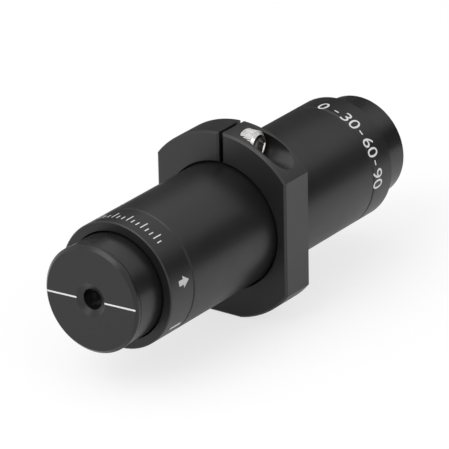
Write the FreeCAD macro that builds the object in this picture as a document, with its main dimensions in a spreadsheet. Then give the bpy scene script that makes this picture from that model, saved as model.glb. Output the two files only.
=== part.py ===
import FreeCAD, Part
import os
import re
import Sketcher

# An optical isolator with two rotators in a row. Both sit in one tube, with a polarizer at each end
# and a third between them, and a split ring on a post carries the tube. The beam runs along +Y and
# enters at the cap with the rim. The origin is the mouth of the post's thread, in the middle of the
# ring's foot, and +Z points up to the tube. Lengths are millimetres, angles degrees.

DIMENSIONS = {
    # Tube: its middle lies a little towards the input side of the ring's middle.
    "TubeRadius": 15.24,
    "TubeWall": 1.64,
    "TubeShift": -0.45,
    "SeamChamfer": 0.15,
    # End rings, each screwed into the tube by a spigot
    "SpigotLength": 5.0,
    "SpigotWall": 1.04,
    "SpigotFit": 0.05,
    "InputRingLength": 8.7,
    "OutputRingLength": 8.0,
    "EndRingWall": 2.24,
    "EndRingChamfer": 0.25,
    "ThroatRadius": 9.0,
    # Caps, which turn in the end rings by their necks
    "NeckFit": 0.3,
    "NeckInsert": 7.2,
    "NeckEndGap": 0.2,
    "NeckWall": 2.2,
    "NeckChamfer": 0.3,
    "RimStep": 0.13,
    "RimLength": 1.0,
    "RimChamfer": 0.52,
    "PlainChamfer": 0.35,
    "FrontWall": 2.5,
    "ApertureRadius": 2.5,
    "SinkDepth": 1.2,
    # Keepers, screwed in behind the polarizer cells
    "KeeperLength": 2.0,
    "KeeperBore": 4.5,
    "KeeperSlotWidth": 1.2,
    "KeeperSlotDepth": 0.8,
    "InputKeeperRecess": 2.4,
    "OutputKeeperRecess": 1.9,
    # Polarizer cubes, each of two prisms, and the cells that hold them
    "CubeSize": 7.0,
    "CubeFit": 0.05,
    "CellWeb": 1.5,
    "CellMargin": 1.5,
    "CellFit": 0.05,
    "BeamRadius": 2.75,
    "InputAxisAngle": 0.0,
    "CentreAxisAngle": 45.0,
    "OutputAxisAngle": 90.0,
    # Rotators: a crystal rod in a sleeve, inside a stack of ring magnets
    "EndMagnetLength": 8.2,
    "MiddleMagnetLength": 9.95,
    "MagnetChamfer": 0.3,
    "MagnetFit": 0.1,
    "StackGap": 0.15,
    "SleeveRadius": 4.5,
    "SleeveFit": 0.05,
    "RodRadius": 3.0,
    "RodFit": 0.05,
    "RodLength": 15.0,
    "RodBevel": 0.2,
    # Lock screws, which hold the caps' angles
    "LockRadius": 1.42,
    "LockFit": 0.05,
    "LockInset": 3.8,
    "LockSink": 0.15,
    "LockChamfer": 0.3,
    "LockSocket": 1.27,
    "LockSocketDepth": 1.2,
    "LockAngle": 225.0,
    "LockGrooveDepth": 0.75,
    "LockGrooveRoom": 0.2,
    "LockTipGap": 0.1,
    # Split ring
    "RingFit": 0.05,
    "RingWall": 7.57,
    "RingWidth": 9.65,
    "RingChamfer": 0.5,
    "SideWall": 2.74,
    "FootHalfWidth": 4.8,
    "SlitWidth": 1.0,
    "PostHoleRadius": 1.73,
    # Clamp screw and its seat in the ring's ears
    "ClampRadius": 2.08,
    "ClampFit": 0.05,
    "ClampClearance": 0.15,
    "ClampLength": 7.94,
    "ClampEndChamfer": 0.4,
    "ClampOffset": 4.42,
    "ClampHeadRadius": 3.43,
    "ClampHeadHeight": 3.95,
    "ClampHeadChamfer": 0.7,
    "ClampSocket": 3.57,
    "ClampSocketDepth": 2.1,
    "EarLength": 3.25,
    "HeadRoom": 0.37,
    "ThreadSpare": 0.8,
}

# Sizes and places that follow from the dimensions
TUBE_BORE = "(TubeRadius - TubeWall)"
TUBE_SEAT = "(TubeRadius - SpigotWall)"
NECK_BORE = "(TubeRadius - EndRingWall)"
NECK_RADIUS = f"({NECK_BORE} - NeckFit)"
NECK_DEPTH = "(NeckInsert + NeckEndGap)"
CAP_BORE = f"({NECK_RADIUS} - NeckWall)"
CELL_LENGTH = "(CellWeb + CubeSize + CellMargin)"
STACK_LENGTH = "(2 * EndMagnetLength + MiddleMagnetLength)"
ROTATOR_ROOM = f"({STACK_LENGTH} + 2 * StackGap)"
TUBE_LENGTH = f"(2 * (SpigotLength + {ROTATOR_ROOM}) + {CELL_LENGTH})"
LOCK_GROOVE_RADIUS = f"({NECK_RADIUS} - LockGrooveDepth)"
RING_BORE = "(TubeRadius + RingFit)"
RING_RADIUS = f"({RING_BORE} + RingWall)"
AXIS_HEIGHT = f"sqrt({RING_RADIUS} ^ 2 - FootHalfWidth ^ 2)"
CLAMP_HEIGHT = f"({RING_BORE} + ClampOffset)"
CLAMP_SEAT = "(SlitWidth / 2 + EarLength)"

document = FreeCAD.newDocument("optical_isolator")
sizes = document.addObject("Spreadsheet::Sheet", "sizes")
for row, (alias, number) in enumerate(DIMENSIONS.items(), start=1):
    sizes.set(f"A{row}", alias)
    sizes.set(f"B{row}", str(number))
    sizes.setAlias(f"B{row}", alias)
document.recompute()

cuts = []
pieces = []


class End:
    """One end of the isolator: the names of its pieces and the way out along the beam."""

    def __init__(self, name, way, ring_length, recess, axis_angle):
        self.name = name
        self.way = way
        self.ring_length = ring_length
        self.recess = recess
        self.axis_angle = axis_angle
        self.cap_length = f"(FrontWall + {CELL_LENGTH} + KeeperLength + {recess})"
        # Distances out from the tube's middle
        self.seam = f"({TUBE_LENGTH} / 2)"
        self.face = f"({self.seam} + {ring_length})"
        self.neck_end = f"({self.face} - NeckInsert)"
        self.cell_middle = f"({self.neck_end} + {self.cap_length} - FrontWall - {CELL_LENGTH} / 2)"
        self.keeper = f"({self.neck_end} + {recess})"
        self.rotator = f"({CELL_LENGTH} / 2 + {ROTATOR_ROOM} / 2)"
        self.lock = f"({self.face} - LockInset)"

    def out(self, distance):
        """A distance outwards, as a signed length along the beam."""
        return f"{self.way} * ({distance})"


INPUT_END = End("input", -1, "InputRingLength", "InputKeeperRecess", "InputAxisAngle")
OUTPUT_END = End("output", 1, "OutputRingLength", "OutputKeeperRecess", "OutputAxisAngle")


def bound(expression):
    """The expression with each dimension read from the sheet."""
    return re.sub(r"\b[A-Z]\w+", r"sizes.\g<0>", expression)


def value(expression):
    """The expression's number."""
    return float(document.sizes.evalExpression(expression))


def new_body(name):
    body = document.addObject("PartDesign::Body", name)
    body.Label = name
    pieces.append(body)
    return body


def new_sketch(body, name, plane, offset="0"):
    """A sketch on one of the body's own planes, or parallel to it."""
    sketch = body.newObject("Sketcher::SketchObject", f"{body.Name}_{name}")
    support = next(item for item in body.Origin.OriginFeatures if item.Role == plane)
    sketch.AttachmentSupport = [(support, "")]
    sketch.MapMode = "FlatFace"
    sketch.setExpression("AttachmentOffset.Base.z", bound(offset))
    return sketch


def fix(sketch, line, point, across=None, along=None):
    """Ties a point to the sketch's origin, by its distances across and along."""
    for kind, expression, axis in (("DistanceX", across, -2), ("DistanceY", along, -1)):
        if expression is None:
            continue
        if expression == "0":
            sketch.addConstraint(Sketcher.Constraint("PointOnObject", line, point, axis))
            continue
        number = value(expression)
        index = sketch.addConstraint(Sketcher.Constraint(kind, -1, 1, line, point, number))
        sketch.setExpression(f"Constraints[{index}]", bound(expression))


def outline(sketch, corners):
    """A closed outline of straight lines. Corners in line with the one before share its distance."""
    spots = [FreeCAD.Vector(value(across), value(along), 0) for across, along in corners]
    count = len(corners)
    start = sketch.GeometryCount
    for index, spot in enumerate(spots):
        sketch.addGeometry(Part.LineSegment(spot, spots[(index + 1) % count]))
    for index in range(count):
        following = start + (index + 1) % count
        sketch.addConstraint(Sketcher.Constraint("Coincident", start + index, 2, following, 1))
    for index, (across, along) in enumerate(corners):
        before = corners[index - 1]
        level_x = index > 0 and across == before[0]
        level_y = index > 0 and along == before[1]
        if level_x:
            sketch.addConstraint(Sketcher.Constraint("Vertical", start + index - 1))
        if level_y:
            sketch.addConstraint(Sketcher.Constraint("Horizontal", start + index - 1))
        fix(sketch, start + index, 1, None if level_x else across, None if level_y else along)


def circle(sketch, radius, across="0", along="0"):
    start = sketch.GeometryCount
    centre = FreeCAD.Vector(value(across), value(along), 0)
    upright = FreeCAD.Vector(0, 0, 1)
    sketch.addGeometry(Part.Circle(centre, upright, value(radius)))
    if across == along == "0":
        sketch.addConstraint(Sketcher.Constraint("Coincident", start, 3, -1, 1))
    else:
        fix(sketch, start, 3, across, along)
    index = sketch.addConstraint(Sketcher.Constraint("Radius", start, value(radius)))
    sketch.setExpression(f"Constraints[{index}]", bound(radius))


def hexagon(sketch, across_flats):
    """A hexagon about the sketch's origin, with two corners on its second axis."""
    corner = f"({across_flats} / sqrt(3))"
    corners = [("0", corner)]
    corners.append((f"-{across_flats} / 2", f"{corner} / 2"))
    corners.append((f"-{across_flats} / 2", f"-{corner} / 2"))
    corners.append(("0", f"-{corner}"))
    corners.append((f"{across_flats} / 2", f"-{corner} / 2"))
    corners.append((f"{across_flats} / 2", f"{corner} / 2"))
    outline(sketch, corners)


def turned(name, corners, plane="XY_Plane"):
    """A body turned about the sketch's upright axis, from corners of radius and length."""
    body = new_body(name)
    sketch = new_sketch(body, "section", plane)
    outline(sketch, corners)
    turning = body.newObject("PartDesign::Revolution", f"{name}_turning")
    turning.Profile = sketch
    turning.ReferenceAxis = (sketch, ["V_Axis"])
    turning.Angle = 360
    return body


def cut(body, sketch, depth, flip):
    """Cuts the sketch into the body, against the sketch's normal or, flipped, along it."""
    document.recompute()
    pocket = body.newObject("PartDesign::Pocket", f"{sketch.Name}_cut")
    pocket.Profile = sketch
    pocket.setExpression("Length", bound(depth))
    pocket.Reversed = flip
    cuts.append(pocket)


def cut_through(body, sketch, length):
    """Cuts the sketch right through the body, both ways from the sketch."""
    cut(body, sketch, length, False)
    cuts[-1].SideType = "Symmetric"


def set_place(body, along="0", across="0", height="0", angle="0"):
    """Puts a body on the tube's axis, then along the beam, across it and up, turned about the beam."""
    body.Placement.Rotation = FreeCAD.Rotation(FreeCAD.Vector(0, 1, 0), value(angle))
    body.setExpression("Placement.Base.x", bound(across))
    body.setExpression("Placement.Base.y", bound(along))
    body.setExpression("Placement.Base.z", bound(f"{AXIS_HEIGHT} + {height}"))
    if angle != "0":
        body.setExpression("Placement.Rotation.Angle", bound(angle))


def from_tube(distance):
    """A place along the beam, from its distance to the tube's middle."""
    return f"TubeShift + {distance}"


def make_slip_ring():
    """The split ring: turned, then milled flat at its sides and foot, slit on top and drilled."""
    face = "(RingWidth / 2)"
    edge = f"({face} - RingChamfer)"
    beyond = "RingWidth"
    outside = f"({RING_RADIUS} + RingWall)"
    wide_bore = f"{RING_BORE} + RingChamfer"
    rounded = f"{RING_RADIUS} - RingChamfer"
    corners = [(RING_BORE, f"-{edge}"), (wide_bore, f"-{face}"), (rounded, f"-{face}")]
    corners += [(RING_RADIUS, f"-{edge}"), (RING_RADIUS, edge), (rounded, face)]
    corners += [(wide_bore, face), (RING_BORE, edge)]
    ring = turned("slip_ring", corners)

    sides = new_sketch(ring, "flat_sides", "XY_Plane")
    for way in (1, -1):
        side = f"{way} * ({RING_BORE} + SideWall)"
        chamfered = f"{way} * ({RING_BORE} + SideWall - RingChamfer)"
        beside = f"{way} * {outside}"
        corners = [(chamfered, f"-{beyond}"), (chamfered, f"-{face}"), (side, f"-{edge}")]
        corners += [(side, edge), (chamfered, face), (chamfered, beyond)]
        corners += [(beside, beyond), (beside, f"-{beyond}")]
        outline(sides, corners)
    cut_through(ring, sides, f"2 * {outside}")

    foot = new_sketch(ring, "foot", "YZ_Plane")
    level = f"-{AXIS_HEIGHT}"
    chamfered = f"RingChamfer - {AXIS_HEIGHT}"
    below = f"-{outside}"
    corners = [(f"-{beyond}", chamfered), (f"-{face}", chamfered), (f"-{edge}", level)]
    corners += [(edge, level), (face, chamfered), (beyond, chamfered)]
    corners += [(beyond, below), (f"-{beyond}", below)]
    outline(foot, corners)
    cut_through(ring, foot, f"2 * {outside}")

    # The slit's mouths have the same chamfer as the ring's other edges.
    slit = new_sketch(ring, "slit", "XY_Plane")
    wall = "(SlitWidth / 2)"
    flare = "(SlitWidth / 2 + RingChamfer)"
    corners = [(wall, f"-{edge}"), (wall, edge), (flare, face), (flare, beyond)]
    corners += [(f"-{flare}", beyond), (f"-{flare}", face), (f"-{wall}", edge)]
    corners += [(f"-{wall}", f"-{edge}"), (f"-{flare}", f"-{face}"), (f"-{flare}", f"-{beyond}")]
    corners += [(flare, f"-{beyond}"), (flare, f"-{face}")]
    outline(slit, corners)
    cut(ring, slit, outside, True)

    # The head's pocket runs out of the ring's rounded shoulder, and leaves a thin wall on each side.
    pocket = new_sketch(ring, "head_pocket", "YZ_Plane", CLAMP_SEAT)
    circle(pocket, "ClampHeadRadius + HeadRoom", "0", CLAMP_HEIGHT)
    cut(ring, pocket, RING_RADIUS, True)
    near_ear = new_sketch(ring, "clearance_hole", "YZ_Plane")
    circle(near_ear, "ClampRadius + ClampClearance", "0", CLAMP_HEIGHT)
    cut(ring, near_ear, f"{CLAMP_SEAT} + HeadRoom", True)
    far_ear = new_sketch(ring, "clamp_thread", "YZ_Plane")
    circle(far_ear, "ClampRadius + ClampFit", "0", CLAMP_HEIGHT)
    cut(ring, far_ear, f"ClampLength - {CLAMP_SEAT} + ThreadSpare", False)
    post = new_sketch(ring, "post_thread", "XY_Plane")
    circle(post, "PostHoleRadius")
    cut(ring, post, RING_RADIUS, False)
    set_place(ring)


def make_clamp_screw():
    """A socket head screw, from its tip up to its head along the local upright."""
    tip = "-ClampLength"
    corners = [("0", tip), ("ClampRadius - ClampEndChamfer", tip)]
    corners += [("ClampRadius", f"{tip} + ClampEndChamfer"), ("ClampRadius", "0")]
    corners += [("ClampHeadRadius", "0"), ("ClampHeadRadius", "ClampHeadHeight - ClampHeadChamfer")]
    corners += [("ClampHeadRadius - ClampHeadChamfer", "ClampHeadHeight"), ("0", "ClampHeadHeight")]
    screw = turned("clamp_screw", corners, "XZ_Plane")
    socket = new_sketch(screw, "socket", "XY_Plane", "ClampHeadHeight")
    hexagon(socket, "ClampSocket")
    cut(screw, socket, "ClampSocketDepth", False)
    set_place(screw, across=CLAMP_SEAT, height=CLAMP_HEIGHT, angle="90")


def make_tube():
    half = f"{TUBE_LENGTH} / 2"
    seat = f"{TUBE_LENGTH} / 2 - SpigotLength"
    rounded = "TubeRadius - SeamChamfer"
    corners = [(TUBE_BORE, f"-({seat})"), (TUBE_SEAT, f"-({seat})"), (TUBE_SEAT, f"-({half})")]
    corners += [(rounded, f"-({half})"), ("TubeRadius", f"SeamChamfer - {half}")]
    corners += [("TubeRadius", f"{half} - SeamChamfer"), (rounded, half)]
    corners += [(TUBE_SEAT, half), (TUBE_SEAT, seat), (TUBE_BORE, seat)]
    tube = turned("housing_tube", corners)
    set_place(tube, along="TubeShift")


def make_end_ring(end):
    """An end ring, drawn from the tube's end face outwards, with the lock screw's hole upright."""
    spigot = f"{TUBE_SEAT} - SpigotFit"
    rounded = "TubeRadius - SeamChamfer"
    face = end.out(end.ring_length)
    floor = end.out(f"{end.ring_length} - {NECK_DEPTH}")
    edge = end.out(f"{end.ring_length} - EndRingChamfer")
    corners = [("ThroatRadius", end.out("-SpigotLength")), (spigot, end.out("-SpigotLength"))]
    corners += [(spigot, "0"), (rounded, "0"), ("TubeRadius", end.out("SeamChamfer"))]
    corners += [("TubeRadius", edge), ("TubeRadius - EndRingChamfer", face), (NECK_BORE, face)]
    corners += [(NECK_BORE, floor), ("ThroatRadius", floor)]
    ring = turned(f"{end.name}_end_ring", corners)
    hole = new_sketch(ring, "lock_hole", "XY_Plane")
    circle(hole, "LockRadius + LockFit", "0", end.out(f"{end.ring_length} - LockInset"))
    cut(ring, hole, "2 * TubeRadius", True)
    set_place(ring, along=from_tube(end.out(end.seam)), angle="LockAngle")


def make_cap(end, rimmed):
    """A cap, drawn from its neck's inner end outwards, with a groove for the lock screw's tip."""
    length = end.cap_length
    groove = "NeckInsert - LockInset"
    half_groove = "(LockRadius + LockGrooveRoom)"
    near = end.out(f"{groove} - {half_groove}")
    far = end.out(f"{groove} + {half_groove}")
    face = end.out(length)
    corners = [(CAP_BORE, "0"), (f"{NECK_RADIUS} - NeckChamfer", "0")]
    corners += [(NECK_RADIUS, end.out("NeckChamfer")), (NECK_RADIUS, near), (LOCK_GROOVE_RADIUS, near)]
    corners += [(LOCK_GROOVE_RADIUS, far), (NECK_RADIUS, far)]
    if rimmed:
        rim = f"{NECK_RADIUS} + RimStep"
        chamfer = "RimChamfer"
        rim_back = end.out(f"{length} - RimChamfer - RimLength")
        corners += [(NECK_RADIUS, rim_back), (rim, rim_back)]
    else:
        rim = NECK_RADIUS
        chamfer = "PlainChamfer"
    corners += [(rim, end.out(f"{length} - {chamfer}")), (f"{rim} - {chamfer}", face)]
    inner_face = end.out(f"{length} - FrontWall")
    corners += [("ApertureRadius + SinkDepth", face), ("ApertureRadius", end.out(f"{length} - SinkDepth"))]
    corners += [("ApertureRadius", inner_face), (CAP_BORE, inner_face)]
    cap = turned(f"{end.name}_cap", corners)
    set_place(cap, along=from_tube(end.out(end.neck_end)))


def make_cell(name, radius, beam_radius, way, along, angle):
    """A round cell about its own middle, with a square pocket for the cube on its inner side."""
    half = f"{CELL_LENGTH} / 2"
    corners = [(beam_radius, f"-({half})"), (radius, f"-({half})"), (radius, half), (beam_radius, half)]
    cell = turned(name, corners)
    pocket = new_sketch(cell, "pocket", "XZ_Plane", f"{-way} * ({half})")
    side = "(CubeSize / 2 + CubeFit)"
    outline(pocket, [(f"-{side}", f"-{side}"), (side, f"-{side}"), (side, side), (f"-{side}", side)])
    cut(cell, pocket, f"{CELL_LENGTH} - CellWeb", way > 0)
    set_place(cell, along=along, angle=angle)


def make_cube(name, way, along, angle):
    """Two prisms that meet on the cube's slanted face. The cube stands against its cell's web."""
    half = "(CubeSize / 2)"
    low = f"-{half}"
    seat = f"{along} + {way} * ({CELL_LENGTH} / 2 - CellWeb - CubeSize / 2)"
    halves = {"upper": [(low, half), (half, low), (half, half)]}
    halves["lower"] = [(low, low), (half, low), (low, half)]
    for part, corners in halves.items():
        prism = new_body(f"{name}_{part}_prism")
        sketch = new_sketch(prism, "side", "YZ_Plane")
        outline(sketch, corners)
        pad = prism.newObject("PartDesign::Pad", f"{name}_{part}_glass")
        pad.Profile = sketch
        pad.SideType = "Symmetric"
        pad.setExpression("Length", bound("CubeSize"))
        set_place(prism, along=seat, angle=angle)


def make_keeper(end):
    """A ring behind the cell, with a driver's slot across its inner face."""
    radius = f"{CAP_BORE} - CellFit"
    length = end.out("KeeperLength")
    corners = [("KeeperBore", "0"), (radius, "0"), (radius, length), ("KeeperBore", length)]
    keeper = turned(f"{end.name}_keeper", corners)
    slot = new_sketch(keeper, "slot", "XZ_Plane")
    half_width = "KeeperSlotWidth / 2"
    sides = [(f"-{CAP_BORE}", f"-{half_width}"), (CAP_BORE, f"-{half_width}")]
    sides += [(CAP_BORE, half_width), (f"-{CAP_BORE}", half_width)]
    outline(slot, sides)
    cut(keeper, slot, "KeeperSlotDepth", end.way < 0)
    set_place(keeper, along=from_tube(end.out(end.keeper)), angle=end.axis_angle)


def make_magnet(end, name, length, offset):
    half = f"{length} / 2"
    outer = f"{TUBE_BORE} - MagnetFit"
    inner = "SleeveRadius + SleeveFit"
    corners = [(inner, f"-{half}"), (f"{outer} - MagnetChamfer", f"-{half}")]
    corners += [(outer, f"MagnetChamfer - {half}"), (outer, f"{half} - MagnetChamfer")]
    corners += [(f"{outer} - MagnetChamfer", half), (inner, half)]
    magnet = turned(f"{end.name}_{name}_magnet", corners)
    set_place(magnet, along=from_tube(end.out(f"{end.rotator} + {offset}")))


def make_rotator(end):
    """Three magnets in a stack, and a sleeve down their middle with the crystal against its step."""
    magnet_step = "(MiddleMagnetLength + EndMagnetLength) / 2"
    make_magnet(end, "inner", "EndMagnetLength", f"-{magnet_step}")
    make_magnet(end, "middle", "MiddleMagnetLength", "0")
    make_magnet(end, "outer", "EndMagnetLength", magnet_step)
    half_stack = f"{STACK_LENGTH} / 2"
    half_rod = "RodLength / 2"
    bore = "RodRadius + RodFit"
    corners = [("BeamRadius", f"-{half_stack}"), ("SleeveRadius", f"-{half_stack}")]
    corners += [("SleeveRadius", half_stack), (bore, half_stack), (bore, f"-{half_rod}")]
    corners += [("BeamRadius", f"-{half_rod}")]
    sleeve = turned(f"{end.name}_crystal_sleeve", corners)
    rod_edge = "RodRadius - RodBevel"
    corners = [("0", f"-{half_rod}"), (rod_edge, f"-{half_rod}"), ("RodRadius", f"RodBevel - {half_rod}")]
    corners += [("RodRadius", f"{half_rod} - RodBevel"), (rod_edge, half_rod), ("0", half_rod)]
    rod = turned(f"{end.name}_crystal", corners)
    for piece in (sleeve, rod):
        set_place(piece, along=from_tube(end.out(end.rotator)))


def make_lock_screw(end):
    """A headless screw drawn at its own distance from the tube's axis, along the local upright."""
    tip = f"({LOCK_GROOVE_RADIUS} + LockTipGap)"
    top = "(TubeRadius - LockSink)"
    edge = "LockRadius - LockChamfer"
    corners = [("0", tip), (edge, tip), ("LockRadius", f"{tip} + LockChamfer")]
    corners += [("LockRadius", f"{top} - LockChamfer"), (edge, top), ("0", top)]
    screw = turned(f"{end.name}_lock_screw", corners, "XZ_Plane")
    socket = new_sketch(screw, "socket", "XY_Plane", top)
    hexagon(socket, "LockSocket")
    cut(screw, socket, "LockSocketDepth", False)
    set_place(screw, along=from_tube(end.out(end.lock)), angle="LockAngle")


def make_end(end, rimmed):
    make_end_ring(end)
    make_cap(end, rimmed)
    cell_place = from_tube(end.out(end.cell_middle))
    cell_radius = f"{CAP_BORE} - CellFit"
    make_cell(f"{end.name}_cell", cell_radius, "ApertureRadius", -end.way, cell_place, end.axis_angle)
    make_cube(f"{end.name}_polarizer", end.way, cell_place, end.axis_angle)
    make_keeper(end)
    make_rotator(end)
    make_lock_screw(end)


def check_and_save():
    document.recompute()
    for item in document.Objects:
        if "Invalid" in item.State or "Error" in item.State:
            raise RuntimeError(f"{item.Name} failed: {item.State}")
    for pocket in cuts:
        if pocket.Shape.Volume >= pocket.BaseFeature.Shape.Volume - 1e-6:
            raise RuntimeError(f"{pocket.Name} cuts nothing")
    for piece in pieces:
        if piece.Shape.isNull() or not piece.Shape.isValid():
            raise RuntimeError(f"{piece.Label} has no valid shape")
    os.makedirs("parts", exist_ok=True)
    for piece in pieces:
        piece.Shape.exportStep(f"parts/{piece.Label}.step")


make_slip_ring()
make_clamp_screw()
make_tube()
make_end(INPUT_END, rimmed=True)
make_end(OUTPUT_END, rimmed=False)
make_cell("centre_cell", f"{TUBE_BORE} - CellFit", "BeamRadius", -1, "TubeShift", "CentreAxisAngle")
make_cube("centre_polarizer", 1, "TubeShift", "CentreAxisAngle")
check_and_save()
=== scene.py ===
import logging
import math
from dataclasses import dataclass
from enum import Enum

import bmesh
import bpy
from mathutils import Matrix, Vector


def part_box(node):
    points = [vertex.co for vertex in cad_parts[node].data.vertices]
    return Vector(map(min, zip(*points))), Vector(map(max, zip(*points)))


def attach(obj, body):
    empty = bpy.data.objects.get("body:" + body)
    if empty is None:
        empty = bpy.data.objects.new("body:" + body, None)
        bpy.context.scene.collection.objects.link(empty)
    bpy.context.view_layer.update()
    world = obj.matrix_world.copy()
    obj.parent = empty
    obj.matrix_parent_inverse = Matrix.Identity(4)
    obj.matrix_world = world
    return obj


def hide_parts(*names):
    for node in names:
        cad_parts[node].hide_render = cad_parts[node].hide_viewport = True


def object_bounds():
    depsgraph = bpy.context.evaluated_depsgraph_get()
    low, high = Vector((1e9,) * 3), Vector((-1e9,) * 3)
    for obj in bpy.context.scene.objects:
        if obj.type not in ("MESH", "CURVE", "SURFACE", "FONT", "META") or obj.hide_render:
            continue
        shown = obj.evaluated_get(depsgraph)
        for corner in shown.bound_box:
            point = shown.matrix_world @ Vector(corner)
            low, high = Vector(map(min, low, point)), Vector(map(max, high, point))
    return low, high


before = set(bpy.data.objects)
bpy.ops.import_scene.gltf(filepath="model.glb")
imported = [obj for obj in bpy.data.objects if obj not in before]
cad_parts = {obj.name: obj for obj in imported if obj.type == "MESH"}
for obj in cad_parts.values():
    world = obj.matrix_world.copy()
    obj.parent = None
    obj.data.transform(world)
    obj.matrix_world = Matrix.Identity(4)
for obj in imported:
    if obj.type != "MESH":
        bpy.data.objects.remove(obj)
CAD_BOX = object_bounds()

# The isolator lies along Y, with its input cap towards -Y. Sizes in the classes are millimetres and
# degrees unless they say metres, and the kept pieces' meshes are in metres. Angles round the tube
# start at its top and grow towards +X.

MM = 0.001
ON_AXIS = 1e-6
WHITE = (1, 1, 1, 1)
SQUARE = ((-1, -1), (1, -1), (1, 1), (-1, 1))
LOG = logging.getLogger("isolator")
Corner = tuple[float, float]
Triple = tuple[float, float, float]
Material = bpy.types.Material
Mesh = bpy.types.Mesh
Node = bpy.types.Node
Piece = bpy.types.Object
Socket = bpy.types.NodeSocket


class End(Enum):
    """The two ends of the row, by the way that each one points along the beam."""

    INPUT = -1
    OUTPUT = 1

    @property
    def label(self) -> str:
        """The end's name as the nodes spell it."""
        return self.name.lower()


class Grain(Enum):
    """How a metal face was worked, which sets the way its marks run."""

    TURNED = "turned"
    MILLED = "milled"


class Nodes:
    """A node tree with short ways to fill it, for finishes and for shapes."""

    def __init__(self, tree: bpy.types.NodeTree) -> None:
        """Takes the tree that the nodes go into."""
        self.tree = tree

    def feed(self, socket: Socket, value: object) -> None:
        """Links an input, or sets a plain value on it.

        Args:
            socket: The input.
            value: A socket, a node whose first output is meant, or a plain value.
        """
        if isinstance(value, Node):
            value = value.outputs[0]
        if isinstance(value, Socket):
            self.tree.links.new(value, socket)
        else:
            socket.default_value = value

    def fill(self, node: Node, **inputs: object) -> Node:
        """Feeds a node's inputs.

        Args:
            node: The node.
            **inputs: What goes into each input, by its name with _ for spaces.

        Returns:
            The node.
        """
        for name, value in inputs.items():
            self.feed(node.inputs[name.replace("_", " ")], value)
        return node

    def add(self, kind: str, **inputs: object) -> Node:
        """Adds a node of that kind, feeds its inputs and returns it."""
        return self.fill(self.tree.nodes.new(kind), **inputs)

    def maths(self, operation: str, *values: object) -> Socket:
        """Adds a Math node.

        Args:
            operation: The node's operation.
            *values: A socket, a node or a number for each input.

        Returns:
            The node's output.
        """
        node = self.add("ShaderNodeMath")
        node.operation = operation
        for socket, value in zip(node.inputs, values):
            self.feed(socket, value)
        return node.outputs[0]

    def mix(self, kind: str, factor: Socket, low: object, high: object) -> Socket:
        """Adds a Mix node.

        Args:
            kind: The data type that it mixes.
            factor: A value from 0 for low to 1 for high.
            low: A socket or a plain value.
            high: A socket or a plain value.

        Returns:
            The node's output.
        """
        node = self.add("ShaderNodeMix")
        node.data_type = kind
        return self.fill(node, Factor=factor, A=low, B=high).outputs["Result"]

    def vector(self, *parts: object) -> Socket:
        """Joins sockets or numbers for X, Y and Z, and returns the vector's socket."""
        return self.add("ShaderNodeCombineXYZ", **dict(zip("XYZ", parts))).outputs[0]

    def rays(self, *kinds: str) -> Socket:
        """Tells some kinds of rays from the others.

        Args:
            *kinds: The kinds, as the Light Path node names them.

        Returns:
            A value that is 1 on those rays and 0 on others.
        """
        path = self.add("ShaderNodeLightPath")
        seen = path.outputs[f"Is {kinds[0]} Ray"]
        for kind in kinds[1:]:
            seen = self.maths("MAXIMUM", seen, path.outputs[f"Is {kind} Ray"])
        return seen


# Finishes


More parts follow.
